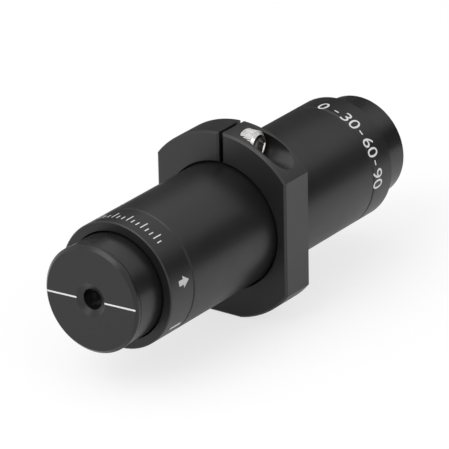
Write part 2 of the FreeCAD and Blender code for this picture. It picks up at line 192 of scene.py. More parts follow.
class Shader(Nodes):
    """A material's nodes with its surface shader, and short ways to add what varies over it."""

    def __init__(self, name: str, centre_height: float = 0.0) -> None:
        """Starts a plain material.

        Args:
            name: What it is for, which the material's name begins with.
            centre_height: Height in metres that becomes the pattern's own zero.
        """
        self.material = bpy.data.materials.new(f"{name}_finish")
        self.material.use_nodes = True
        super().__init__(self.material.node_tree)
        self.surface = self.tree.nodes["Principled BSDF"]
        self.place = self.add("ShaderNodeTexCoord")
        whole = self.place.outputs["Object"]
        self.centred = self.add("ShaderNodeMapping", Vector=whole, Location=(0, 0, -centre_height))

    def finish(self, **inputs: object) -> Material:
        """Feeds the surface shader's inputs, and returns the material."""
        self.fill(self.surface, **inputs)
        return self.material

    def attribute(self, name: str) -> Socket:
        """Reads a value that the mesh carries.

        Args:
            name: The attribute's name.

        Returns:
            Its value, or 0 where the mesh has none.
        """
        node = self.add("ShaderNodeAttribute")
        node.attribute_name = name
        return node.outputs["Fac"]

    def noise(self, size: float, detail: float = 3.0, stretch: Triple = (1, 1, 1)) -> Socket:
        """Adds noise over the piece.

        Args:
            size: The size of its features, in millimetres.
            detail: The node's detail.
            stretch: How much finer it is along each axis.

        Returns:
            A value round 0.5.
        """
        place = self.add("ShaderNodeMapping", Vector=self.centred, Scale=stretch)
        scale = 1 / (size * MM)
        return self.add("ShaderNodeTexNoise", Vector=place, Scale=scale, Detail=detail).outputs[0]

    def turning_marks(self, pitch: float, end_face: float = 0.7) -> Socket:
        """Adds the fine rings that a lathe leaves, round the sides and on the end faces.

        Args:
            pitch: The rings' spacing, in millimetres.
            end_face: The normal's least part along the axis on an end face.

        Returns:
            A value round 0.5.
        """
        spot = self.add("ShaderNodeSeparateXYZ", Vector=self.centred)
        squares = [self.maths("POWER", spot.outputs[part], 2.0) for part in "XZ"]
        radius = self.maths("SQRT", self.maths("ADD", *squares))
        facing = self.add("ShaderNodeSeparateXYZ", Vector=self.place.outputs["Normal"])
        lean = self.maths("ABSOLUTE", facing.outputs["Y"])
        on_face = self.maths("GREATER_THAN", lean, end_face)
        node = self.add("ShaderNodeTexNoise")
        node.noise_dimensions = "1D"
        along = self.mix("FLOAT", on_face, spot.outputs["Y"], radius)
        return self.fill(node, W=along, Scale=1 / (pitch * MM), Detail=2.0).outputs[0]

    def between(self, value: Socket, low: float, high: float) -> Socket:
        """Stretches noise, which keeps to 0.25 to 0.75, to run from low to high."""
        ends = {"From_Min": 0.25, "From_Max": 0.75, "To_Min": low, "To_Max": high}
        return self.add("ShaderNodeMapRange", Value=value, **ends).outputs[0]

    def tint(self, value: Socket, colour: Triple, low: float, high: float) -> Socket:
        """Varies a linear colour with noise, from low times its parts to high times them."""
        ends = [(*(min(1.0, share * part) for part in colour), 1) for share in (low, high)]
        return self.mix("RGBA", self.between(value, 0.0, 1.0), *ends)

    def bump(self, strength: float, *heights: tuple[Socket, float]) -> Node:
        """Adds a relief.

        Args:
            strength: The Bump node's strength.
            *heights: Values with the depth in millimetres that each stands for.

        Returns:
            The Bump node, for the surface's normal.
        """
        total, *others = (self.maths("MULTIPLY", value, depth * MM) for value, depth in heights)
        for other in others:
            total = self.maths("ADD", total, other)
        return self.add("ShaderNodeBump", Strength=strength, Distance=1.0, Height=total)


@dataclass(frozen=True)
class AnodisedFinish:
    """Black anodised aluminium: satin, finely grained, a little lighter along its edges and narrow
    chamfers, which is partly edge wear and partly a painted highlight.
    """

    slot: str
    grain: Grain
    axis_height: float
    grey: float = 0.0075
    # The lighter grey of edges and chamfers: partly edge wear, partly a painted highlight along
    # them.
    wear_and_highlight_grey: float = 0.025
    roughness: float = 0.36
    spread: float = 0.03
    refraction: float = 1.5
    grain_size: float = 0.22
    cloud_size: float = 9.0
    patch_size: float = 0.8
    turning_pitch: float = 0.16
    milling_size: float = 0.9

    def material(self) -> Material:
        """Builds the finish and returns its material."""
        shader = Shader(self.slot, self.axis_height)
        fine = shader.noise(self.grain_size)
        if self.grain is Grain.TURNED:
            marks = shader.turning_marks(self.turning_pitch)
        else:
            marks = shader.noise(self.milling_size, 2.0, (1, 1, 0.12))
        base = shader.tint(fine, (self.grey,) * 3, 0.82, 1.2)
        patches = shader.between(shader.noise(self.patch_size, 4.0), 0.35, 1.0)
        # Edges and narrow chamfers turn lighter: partly wear, partly a painted highlight along
        # them.
        wear_and_highlight = shader.maths("MULTIPLY", shader.attribute("edge_wear_and_highlight"), patches)
        values = (shader.noise(self.cloud_size, 2.0), fine)
        uneven = [shader.between(value, -self.spread, self.spread) for value in values]
        return shader.finish(
            Base_Color=shader.mix("RGBA", wear_and_highlight, base, (*(self.wear_and_highlight_grey,) * 3, 1)),
            Roughness=shader.maths("ADD", shader.maths("ADD", *uneven), self.roughness),
            Normal=shader.bump(0.55, (fine, 0.006), (marks, 0.004)),
            IOR=self.refraction,
        )


@dataclass(frozen=True)
class MetalFinish:
    """Bare or plated metal: a soft variation in its polish, fine scratches, and painted shade that
    darkens its recesses.
    """

    slot: str
    colour: Triple
    roughness: float
    spread: float = 0.06
    scratch: float = 0.002
    # How far painted shade darkens the colour in a recess.
    recess_shade: float = 0.7
    cloud_size: float = 2.5
    scratch_size: float = 0.5

    def material(self) -> Material:
        """Builds the finish and returns its material."""
        shader = Shader(self.slot)
        cloud = shader.noise(self.cloud_size)
        scratches = shader.noise(self.scratch_size, 4.0, (1, 6, 1))
        # Painted shade: faces marked as a recess take a darker copy of the colour.
        shade = (*(self.recess_shade * part for part in self.colour), 1)
        base = shader.tint(cloud, self.colour, 0.82, 1.0)
        low, high = self.roughness - self.spread, self.roughness + self.spread
        return shader.finish(
            Base_Color=shader.mix("RGBA", shader.attribute("recess"), base, shade),
            Roughness=shader.between(cloud, low, high),
            Normal=shader.bump(0.5, (scratches, self.scratch)),
            Metallic=1.0,
        )


@dataclass(frozen=True)
class OpticFinish:
    """A polished optical piece: clear, with the faintest haze from its polishing."""

    slot: str
    colour: Triple
    refraction: float
    haze_size: float = 1.5

    def material(self) -> Material:
        """Builds the finish and returns its material."""
        shader = Shader(self.slot)
        haze = shader.noise(self.haze_size)
        return shader.finish(
            Base_Color=shader.tint(haze, self.colour, 1.0, 1.03),
            Roughness=shader.between(haze, 0.015, 0.05),
            Normal=shader.bump(0.2, (haze, 0.0008)),
            Transmission_Weight=1.0,
            IOR=self.refraction,
        )


@dataclass(frozen=True)
class InkFinish:
    """The pale fill of an engraved mark, slightly uneven and matt."""

    slot: str
    grey: float
    speck_size: float = 0.12

    def material(self) -> Material:
        """Builds the finish and returns its material."""
        shader = Shader(self.slot)
        speckle = shader.noise(self.speck_size)
        return shader.finish(
            Base_Color=shader.tint(speckle, (self.grey,) * 3, 0.86, 1.0),
            Roughness=shader.between(speckle, 0.55, 0.7),
            Normal=shader.bump(0.4, (speckle, 0.004)),
        )


@dataclass(frozen=True)
class FloorFinish:
    """The studio's white sweep. It looks white to the eye, and still takes the object's shadow.

    To the eye most of its white is its own, so its shadows look soft there. In reflections it is
    white paper, with the shadows that the light gives it.
    """

    slot: str
    seen_grey: float = 0.33
    seen_lift: float = 0.7
    mirrored_grey: float = 0.95
    mirrored_lift: float = 0.22
    speck_size: float = 40.0

    def material(self) -> Material:
        """Builds the finish and returns its material."""
        shader = Shader(self.slot)
        speckle = shader.between(shader.noise(self.speck_size, 2.0), -0.004, 0.0)
        seen = shader.rays("Camera", "Transmission")
        darker = shader.maths("MULTIPLY", seen, self.seen_grey - self.mirrored_grey)
        grey = shader.maths("ADD", shader.maths("ADD", darker, self.mirrored_grey), speckle)
        lift = shader.maths("MULTIPLY", seen, self.seen_lift)
        mirrored = shader.maths("MULTIPLY", shader.rays("Glossy"), self.mirrored_lift)
        return shader.finish(
            Base_Color=shader.vector(grey, grey, grey),
            Roughness=0.9,
            Specular_IOR_Level=0.1,
            Emission_Color=WHITE,
            Emission_Strength=shader.maths("MAXIMUM", lift, mirrored),
        )


class Finishes:
    """Every material of the scene, built once and given out by slot names."""

    def __init__(self, axis_height: float) -> None:
        """Builds the materials.

        Args:
            axis_height: Height of the tube's axis in metres, round which turning marks run.
        """
        kinds = (
            AnodisedFinish("anodised_tube", Grain.TURNED, axis_height, refraction=1.43),
            AnodisedFinish(
                "anodised_cap", Grain.TURNED, axis_height, roughness=0.29, refraction=1.43
            ),
            AnodisedFinish("anodised_ring", Grain.MILLED, axis_height, roughness=0.38),
            MetalFinish("bright_screw", (0.62, 0.61, 0.6), roughness=0.24),
            MetalFinish("dark_screw", (0.045, 0.045, 0.047), roughness=0.38),
            MetalFinish("magnet", (0.55, 0.54, 0.51), roughness=0.27),
            MetalFinish("sleeve_brass", (0.66, 0.47, 0.2), roughness=0.3),
            OpticFinish("crystal", (0.97, 0.96, 0.9), refraction=1.95),
            OpticFinish("prism_glass", (0.93, 0.97, 0.98), refraction=1.65),
            InkFinish("mark", grey=0.8),
            InkFinish("faint_mark", grey=0.62),
            FloorFinish("floor"),
        )
        self.by_slot = {kind.slot: kind.material() for kind in kinds}

    def __getitem__(self, slot: str) -> Material:
        """The material of that slot."""
        return self.by_slot[slot]


# Meshes


@dataclass(frozen=True)
class Rounding:
    """How a turned piece's corners are broken: a small radius in a few steps.

    It takes at most `limit` of the faces beside it, and leaves a bend of less than `straight`
    radians. A face narrower than `narrow` is a chamfer, and takes the lighter edge colour all over,
    partly wear and partly a painted highlight.
    """

    radius: float
    steps: int = 3
    narrow: float = 0.45
    limit: float = 0.4
    straight: float = 0.02

    def soften(self, corners: list[Corner]) -> list[tuple[float, float, float, float, float]]:
        """Rounds each corner of a closed outline.

        Args:
            corners: Radius and length along the axis of each corner, in millimetres.

        Returns:
            Points of radius, length, the outward normal's two parts, and the lighter edge colour's
            share from 0 to 1, partly wear and partly a painted highlight.
        """
        area = 0.0
        for here, after in zip(corners, corners[1:] + corners[:1]):
            area += here[0] * after[1] - after[0] * here[1]
        side = 1.0 if area > 0 else -1.0
        points = []
        count = len(corners)
        for index, corner in enumerate(corners):
            here = Vector(corner)
            before = here - Vector(corners[index - 1])
            after = Vector(corners[(index + 1) % count]) - here
            way_in, way_out = before.normalized(), after.normalized()
            normal_in = Vector((way_in.y, -way_in.x)) * side
            normal_out = Vector((way_out.y, -way_out.x)) * side
            turn = way_in.angle(way_out, 0.0)
            if turn < self.straight or here.x < ON_AXIS:
                points.append((here.x, here.y, *normal_in, 0.0))
                points.append((here.x, here.y, *normal_out, 0.0))
                continue
            room = self.limit * before.length, self.limit * after.length
            reach = min(self.radius * math.tan(turn / 2), *room)
            convex = way_in.x * way_out.y - way_in.y * way_out.x
            # Outer corners take the lighter edge colour: partly wear, partly a painted highlight.
            wear_and_highlight = 1.0 if convex * side > 0 else 0.0
            chamfers = before.length < self.narrow, after.length < self.narrow
            start, finish = here - way_in * reach, here + way_out * reach
            for step in range(self.steps + 1):
                share = step / self.steps
                spot = start.lerp(here, share).lerp(here.lerp(finish, share), share)
                normal = normal_in.lerp(normal_out, share).normalized()
                beside_chamfer = chamfers[0] if share < 0.5 else chamfers[1]
                wear_and_highlight_share = wear_and_highlight if beside_chamfer else wear_and_highlight * math.sin(math.pi * share)
                points.append((spot.x, spot.y, normal.x, normal.y, wear_and_highlight_share))
        return points


def axis_height() -> float:
    """Height of the tube's axis in metres, from the tube's own node."""
    low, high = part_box("housing_tube")
    return (low.z + high.z) / 2


def new_object(name: str, data: bpy.types.ID) -> Piece:
    """Puts a mesh, a lamp or a camera into the scene.

    Args:
        name: The object's name.
        data: What it shows.

    Returns:
        The object, at the origin.
    """
    item = bpy.data.objects.new(name, data)
    bpy.context.scene.collection.objects.link(item)
    return item


def finished(name: str, mesh: Mesh, material: Material) -> Piece:
    """Makes an object of a mesh in one material.

    Args:
        name: The object's name.
        mesh: Its mesh.
        material: The only material that the mesh keeps.

    Returns:
        The object, at the origin.
    """
    mesh.materials.clear()
    mesh.materials.append(material)
    return new_object(name, mesh)


def from_shape(name: str, shape: bmesh.types.BMesh) -> Mesh:
    """Makes a mesh of a shape under construction.

    Args:
        name: The mesh's name.
        shape: The shape, which is freed.

    Returns:
        The mesh.
    """
    mesh = bpy.data.meshes.new(name)
    shape.to_mesh(mesh)
    shape.free()
    return mesh


def settled(piece: Piece) -> Piece:
    """Turns a piece's modifiers into plain mesh and removes them.

    Args:
        piece: The piece.

    Returns:
        The same piece.
    """
    graph = bpy.context.evaluated_depsgraph_get()
    graph.update()
    mesh = bpy.data.meshes.new_from_object(piece.evaluated_get(graph))
    mesh.name = f"{piece.name}_mesh"
    piece.modifiers.clear()
    piece.data = mesh
    return piece


def weighted(piece: Piece, sharp: float) -> Piece:
    """Weights a piece's normals by its faces, and keeps its sharp edges sharp.

    Args:
        piece: The piece.
        sharp: Degrees between two faces from which their edge is sharp.

    Returns:
        The same piece, as plain mesh.
    """
    piece.data.set_sharp_from_angle(angle=math.radians(sharp))
    piece.modifiers.new("weighted", "WEIGHTED_NORMAL").keep_sharp = True
    return settled(piece)


def face_outwards(mesh: Mesh) -> None:
    """Turns a closed mesh's faces outwards.

    Args:
        mesh: The mesh, whose enclosed volume comes out below zero if they point inwards.
    """
    mesh.calc_loop_triangles()
    spots = [vertex.co for vertex in mesh.vertices]
    volume = 0.0
    for triangle in mesh.loop_triangles:
        first, second, third = (spots[index] for index in triangle.vertices)
        volume += first.dot(second.cross(third))
    if volume < 0:
        mesh.flip_normals()


def turned_mesh(name: str, corners: list[Corner], rounding: Rounding, segments: int) -> Mesh:
    """Turns a closed outline round the local Y axis.

    Args:
        name: The mesh's name.
        corners: Radius and length of each corner, in millimetres.
        rounding: How the corners are broken.
        segments: Steps round the axis.

    Returns:
        A closed mesh in millimetres with exact normals and an edge_wear_and_highlight attribute,
        for edge colour that is partly wear and partly a painted highlight.
    """
    spots, normals, wear_and_highlight, rings = [], [], [], []
    for radius, along, out, forward, wear_and_highlight_share in rounding.soften(corners):
        if radius < ON_AXIS:
            rings.append([len(spots)])
            spots.append((0.0, along, 0.0))
            normals.append((0.0, math.copysign(1.0, forward), 0.0))
            wear_and_highlight.append(0.0)
            continue
        rings.append(list(range(len(spots), len(spots) + segments)))
        for step in range(segments):
            angle = math.tau * step / segments
            across, upward = math.sin(angle), math.cos(angle)
            spots.append((radius * across, along, radius * upward))
            normals.append((out * across, forward, out * upward))
            wear_and_highlight.append(wear_and_highlight_share)
    faces = []
    for ring, after in zip(rings, rings[1:] + rings[:1]):
        if len(ring) == 1 and len(after) == 1:
            continue
        for step in range(segments):
            later = (step + 1) % segments
            if len(ring) == 1:
                faces.append((ring[0], after[later], after[step]))
            elif len(after) == 1:
                faces.append((ring[step], ring[later], after[0]))
            else:
                faces.append((ring[step], ring[later], after[later], after[step]))
    mesh = bpy.data.meshes.new(name)
    mesh.from_pydata(spots, [], faces)
    mesh.update()
    face_outwards(mesh)
    # Carries the lighter edge colour, partly wear and partly a painted highlight.
    mesh.attributes.new("edge_wear_and_highlight", "FLOAT", "POINT").data.foreach_set("value", wear_and_highlight)
    mesh.shade_smooth()
    mesh.normals_split_custom_set_from_vertices(normals)
    return mesh


def wrapped_mesh(
    name: str, outline: list[Corner], radius: float, above: float, below: float
) -> Mesh:
    """Lays a flat outline round the tube as a thin closed plate.

    Args:
        name: The mesh's name.
        outline: Corners in degrees round the tube and millimetres along it.
        radius: The surface's radius.
        above: How far the plate stands proud.
        below: How far it reaches into the surface.

    Returns:
        The mesh, in millimetres about the tube's axis.
    """
    shape = bmesh.new()
    spots = [(math.radians(degrees) * radius, along, 0) for degrees, along in outline]
    face = shape.faces.new([shape.verts.new(spot) for spot in spots])
    if face.normal.z < 0 or face.calc_area() == 0:
        face.normal_flip()
    bmesh.ops.triangulate(shape, faces=shape.faces[:])
    for _ in range(3):
        bmesh.ops.subdivide_edges(shape, edges=shape.edges[:], cuts=1, use_grid_fill=True)
    bmesh.ops.recalc_face_normals(shape, faces=shape.faces[:])
    plate = bmesh.ops.extrude_face_region(shape, geom=shape.faces[:])
    raised = {item for item in plate["geom"] if isinstance(item, bmesh.types.BMVert)}
    for vertex in shape.verts:
        height = radius + (above if vertex in raised else -below)
        angle = vertex.co.x / radius
        vertex.co = Vector((height * math.sin(angle), vertex.co.y, height * math.cos(angle)))
    bmesh.ops.recalc_face_normals(shape, faces=shape.faces[:])
    mesh = from_shape(name, shape)
    face_outwards(mesh)
    return mesh


@dataclass(frozen=True)
class Cutter:
    """A bar that is cut out of a piece: its sides, its corners' radius, its length, its place."""

    name: str
    sides: int
    radius: float
    length: float
    place: Matrix

    def cut(self, piece: Piece, sharp: float) -> None:
        """Cuts the bar out of a piece and weights the piece's normals.

        Args:
            piece: The piece, in the cutter's own frame.
            sharp: Degrees between two faces from which their edge is sharp.
        """
        size = {"radius1": self.radius, "radius2": self.radius, "depth": self.length}
        shape = bmesh.new()
        bmesh.ops.create_cone(shape, cap_ends=True, segments=self.sides, **size)
        bmesh.ops.transform(shape, matrix=self.place, verts=shape.verts)
        tool = new_object(self.name, from_shape(self.name, shape))
        cut = piece.modifiers.new(self.name, "BOOLEAN")
        cut.operation, cut.solver, cut.object = "DIFFERENCE", "EXACT", tool
        settled(piece)
        bpy.data.objects.remove(tool)
        weighted(piece, sharp)


# Geometry Nodes


class Recipe(Nodes):
    """A Geometry Nodes tree with named inputs, and the object that it makes."""

    def __init__(self, name: str) -> None:
        """Starts a tree that puts out one geometry.

        Args:
            name: The name of the piece that it makes.
        """
        super().__init__(bpy.data.node_groups.new(f"{name}_recipe", "GeometryNodeTree"))
        self.name = name
        self.tree.interface.new_socket(
            "Geometry", in_out="OUTPUT", socket_type="NodeSocketGeometry"
        )
        self.start, self.end = self.add("NodeGroupInput"), self.add("NodeGroupOutput")
        self.values: dict[str, object] = {}

    def size(self, name: str, value: object, kind: str = "Float") -> Socket:
        """Adds a named input.

        Args:
            name: Its name.
            value: The value that this piece gives it.
            kind: Its kind, as sockets are named.

        Returns:
            Its socket.
        """
        kind = f"NodeSocket{kind}"
        socket = self.tree.interface.new_socket(name, in_out="INPUT", socket_type=kind)
        self.values[socket.identifier] = value
        return self.start.outputs[name]

    def sizes(self, kind: str = "Float", **values: object) -> list[Socket]:
        """Adds inputs of one kind, named with _ for spaces, and returns their sockets."""
        return [self.size(name.replace("_", " "), value, kind) for name, value in values.items()]

    def circle(self, radius: Socket, angle: Socket) -> list[Socket]:
        """Returns a spot's parts along an angle's zero and across it."""
        parts = [self.maths(part, angle) for part in ("COSINE", "SINE")]
        return [self.maths("MULTIPLY", radius, part) for part in parts]

    def repeat(self, shape: Node, count: Socket, spot: Socket, **inputs: object) -> Node:
        """Puts a shape on each of so many points, and returns the node."""
        points = self.add("GeometryNodePoints", Count=count, Position=spot)
        return self.add("GeometryNodeInstanceOnPoints", Points=points, Instance=shape, **inputs)

    def make(self, shape: Node, material: Material) -> Piece:
        """Ends the tree, runs it and keeps what it makes.

        Args:
            shape: The node that gives the finished shape.
            material: The piece's material.

        Returns:
            The piece as plain mesh, in millimetres.
        """
        colour = self.size("Material", material, "Material")
        whole = self.add("GeometryNodeRealizeInstances", Geometry=shape)
        dressed = self.add("GeometryNodeSetMaterial", Geometry=whole, Material=colour)
        self.feed(self.end.inputs["Geometry"], dressed)
        piece = new_object(self.name, bpy.data.meshes.new(self.name))
        modifier = piece.modifiers.new("recipe", "NODES")
        modifier.node_group = self.tree
        for identifier, value in self.values.items():
            modifier[identifier] = value
        return settled(piece)


class Detail:
    """A small form that repeats or winds, made by a recipe."""

    def build(self, name: str, material: Material) -> Piece:
        """Builds the detail.

        Args:
            name: The piece's name.
            material: Its material.

        Returns:
            The piece, in millimetres.
        """
        recipe = Recipe(name)
        return recipe.make(self.shape(recipe), material)

    def shape(self, recipe: Recipe) -> Node:
        """Adds the detail's nodes, each kind of detail its own.

        Args:
            recipe: The recipe that the nodes go into.

        Returns:
            The last node, which gives the whole shape.
        """
        raise NotImplementedError


@dataclass
class TickScale(Detail):
    """Short lines engraved along a ring, every few degrees, with longer ones among them."""

    radius: float
    edge: float
    first_angle: float
    spacing: float
    count: int
    short: float
    long: float
    every: int = 3
    width: float = 0.26
    height: float = 0.04

    def shape(self, recipe: Recipe) -> Node:
        """Adds the scale, on the tube's axis."""
        radius, edge, short, long, width, height, first, spacing = recipe.sizes(
            Radius=self.radius,
            Edge=self.edge,
            Short=self.short,
            Long=self.long,
            Width=self.width,
            Height=self.height,
            First_Angle=math.radians(self.first_angle),
            Spacing=math.radians(self.spacing),
        )
        count, every = recipe.sizes("Int", Count=self.count, Every=self.every)
        index = recipe.add("GeometryNodeInputIndex")
        angle = recipe.maths("MULTIPLY_ADD", index, spacing, first)
        is_long = recipe.maths("COMPARE", recipe.maths("MODULO", index, every), 0.0, 0.1)
        extra = recipe.maths("MULTIPLY", is_long, recipe.maths("SUBTRACT", long, short))
        length = recipe.maths("ADD", short, extra)
        middle = recipe.maths("ADD", edge, recipe.maths("MULTIPLY", length, 0.5))
        upward, across = recipe.circle(radius, angle)
        return recipe.repeat(
            recipe.add("GeometryNodeMeshCube"),
            count,
            recipe.vector(across, middle, upward),
            Rotation=recipe.vector(0.0, angle, 0.0),
            Scale=recipe.vector(width, length, height),
        )


@dataclass
class CurvedNumbers(Detail):
    """Plain numbers engraved round a ring, read along it, with their tops towards +Y."""

    radius: float
    middle: float
    numbers: tuple[tuple[str, float], ...]
    size: float = 5.2
    depth: float = 0.06

    def shape(self, recipe: Recipe) -> Node:
        """Adds the numbers, on the tube's axis."""
        radius, middle, size, depth = recipe.sizes(
            Radius=self.radius, Middle=self.middle, Size=self.size, Depth=self.depth
        )
        joined = recipe.add("GeometryNodeJoinGeometry")
        for number, (text, degrees) in enumerate(self.numbers):
            angle = recipe.size(f"Angle {number}", math.radians(degrees))
            words = recipe.size(f"Text {number}", text, "String")
            letters = recipe.add("GeometryNodeStringToCurves", String=words, Size=size)
            letters.align_x, letters.align_y = "CENTER", "MIDDLE"
            shift = recipe.vector(recipe.maths("MULTIPLY", angle, radius), middle, 0.0)
            moved = recipe.add("GeometryNodeTransform", Geometry=letters, Translation=shift)
            recipe.feed(joined.inputs[0], moved)
        flat = recipe.add("GeometryNodeRealizeInstances", Geometry=joined)
        filled = recipe.add("GeometryNodeFillCurve", Curve=flat)
        front = recipe.add("GeometryNodeSubdivideMesh", Mesh=filled, Level=2)
        back = recipe.add("GeometryNodeFlipFaces", Mesh=front)
        down = recipe.vector(0.0, 0.0, recipe.maths("MULTIPLY", depth, -1.0))
        sides = recipe.add("GeometryNodeExtrudeMesh", Mesh=back, Offset=down, Offset_Scale=1.0)
        recipe.fill(sides, Individual=False)
        shell = recipe.add("GeometryNodeJoinGeometry")
        for part in (sides, front):
            recipe.feed(shell.inputs[0], part)
        closed = recipe.add("GeometryNodeMergeByDistance", Geometry=shell, Distance=0.0005)
        spot = recipe.add(
            "ShaderNodeSeparateXYZ", Vector=recipe.add("GeometryNodeInputPosition")
        )
        turn = recipe.maths("DIVIDE", spot.outputs["X"], radius)
        upward, across = recipe.circle(recipe.maths("ADD", radius, spot.outputs["Z"]), turn)
        place = recipe.vector(across, spot.outputs["Y"], upward)
        return recipe.add("GeometryNodeSetPosition", Geometry=closed, Position=place)


@dataclass
class Knurl(Detail):
    """The fine upright ribs round a socket head screw's head, about the local Z axis."""

    radius: float
    bottom: float
    height: float
    depth: float
    count: int = 52
    sides: int = 6

    def shape(self, recipe: Recipe) -> Node:
        """Adds the ribs."""
        radius, bottom, height, rib = recipe.sizes(
            Radius=self.radius, Bottom=self.bottom, Height=self.height, Rib_Radius=self.depth
        )
        count, sides = recipe.sizes("Int", Count=self.count, Sides=self.sides)
        step = recipe.maths("DIVIDE", math.tau, count)
        angle = recipe.maths("MULTIPLY", recipe.add("GeometryNodeInputIndex"), step)
        level = recipe.maths("MULTIPLY_ADD", height, 0.5, bottom)
        bar = recipe.add("GeometryNodeMeshCylinder", Vertices=sides, Radius=rib, Depth=height)
        spot = recipe.vector(*recipe.circle(radius, angle), level)
        return recipe.repeat(bar, count, spot, Rotation=recipe.vector(0.0, 0.0, angle))


@dataclass
class Thread(Detail):
    """A screw's thread, wound about the local Z axis from the bottom up."""

    radius: float
    bottom: float
    height: float
    pitch: float
    crest_share: float = 0.36

    def shape(self, recipe: Recipe) -> Node:
        """Adds the thread."""
        crest, middle, height, turns, bottom = recipe.sizes(
            Crest=self.pitch * self.crest_share,
            Middle_Radius=self.radius - self.pitch * self.crest_share,
            Height=self.height,
            Turns=self.height / self.pitch,
            Bottom=self.bottom,
        )
        line = recipe.add("GeometryNodeCurveSpiral", Resolution=40, Rotations=turns)
        recipe.fill(line, Start_Radius=middle, End_Radius=middle, Height=height)
        low = recipe.vector(0.0, 0.0, bottom)
        moved = recipe.add("GeometryNodeTransform", Geometry=line, Translation=low)
        section = recipe.add("GeometryNodeCurvePrimitiveCircle", Resolution=4, Radius=crest)
        wound = recipe.add("GeometryNodeCurveToMesh", Curve=moved, Profile_Curve=section)
        return recipe.fill(wound, Fill_Caps=True)


# Sub-assemblies


@dataclass
class Assembly:
    """What every sub-assembly shares: its finishes and the ways to make, place and keep a piece."""

    finishes: Finishes

    def turn(
        self, name: str, corners: list[Corner], rounding: float, slot: str, segments: int = 192
    ) -> Piece:
        """Turns an outline to a piece, about the local Y axis and in millimetres.

        Args:
            name: The piece's name.
            corners: Radius and length of each corner.
            rounding: The radius that breaks the corners.
            slot: The slot of its finish.
            segments: Steps round the axis.

        Returns:
            The piece.
        """
        mesh = turned_mesh(name, corners, Rounding(rounding), segments)
        return finished(name, mesh, self.finishes[slot])

    def on_axis(self, piece: Piece) -> Piece:
        """Brings a piece from millimetres about the tube's axis to its place in metres."""
        piece.data.transform(Matrix.Translation((0, 0, axis_height())) @ Matrix.Scale(MM, 4))
        return piece

    def keep(self, piece: Piece, body: str, slot: str, *nodes: str) -> None:
        """Gives a piece its body and the nodes that it stands for, and reports it.

        Args:
            piece: The finished piece.
            body: The body that carries it.
            slot: The slot of its finish, or "" for a mark; not used.
            *nodes: The nodes that it replaces.
        """
        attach(piece, body)
        if nodes:
            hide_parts(*nodes)
        LOG.info("%s: %d faces on %s", piece.name, len(piece.data.polygons), body)

    def mark(self, piece: Piece, body: str = "housing") -> None:
        """Brings a mark from the tube's axis to its place, and keeps it on a body."""
        self.keep(self.on_axis(piece), body, "")

    def dress(self, node: str, slot: str) -> None:
        """Gives a carried-over node the finish of its slot, and reports it.

        Args:
            node: The node's name.
            slot: The slot of its finish.
        """
        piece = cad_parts[node]
        for material_slot in piece.material_slots:
            material_slot.material = self.finishes[slot]
        LOG.info("%s: dressed in %s", node, slot)

    def span(self, node: str) -> Triple:
        """A turned node's two ends along Y and its outer radius, in millimetres."""
        low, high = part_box(node)
        return low.y / MM, high.y / MM, (high.x - low.x) / 2 / MM


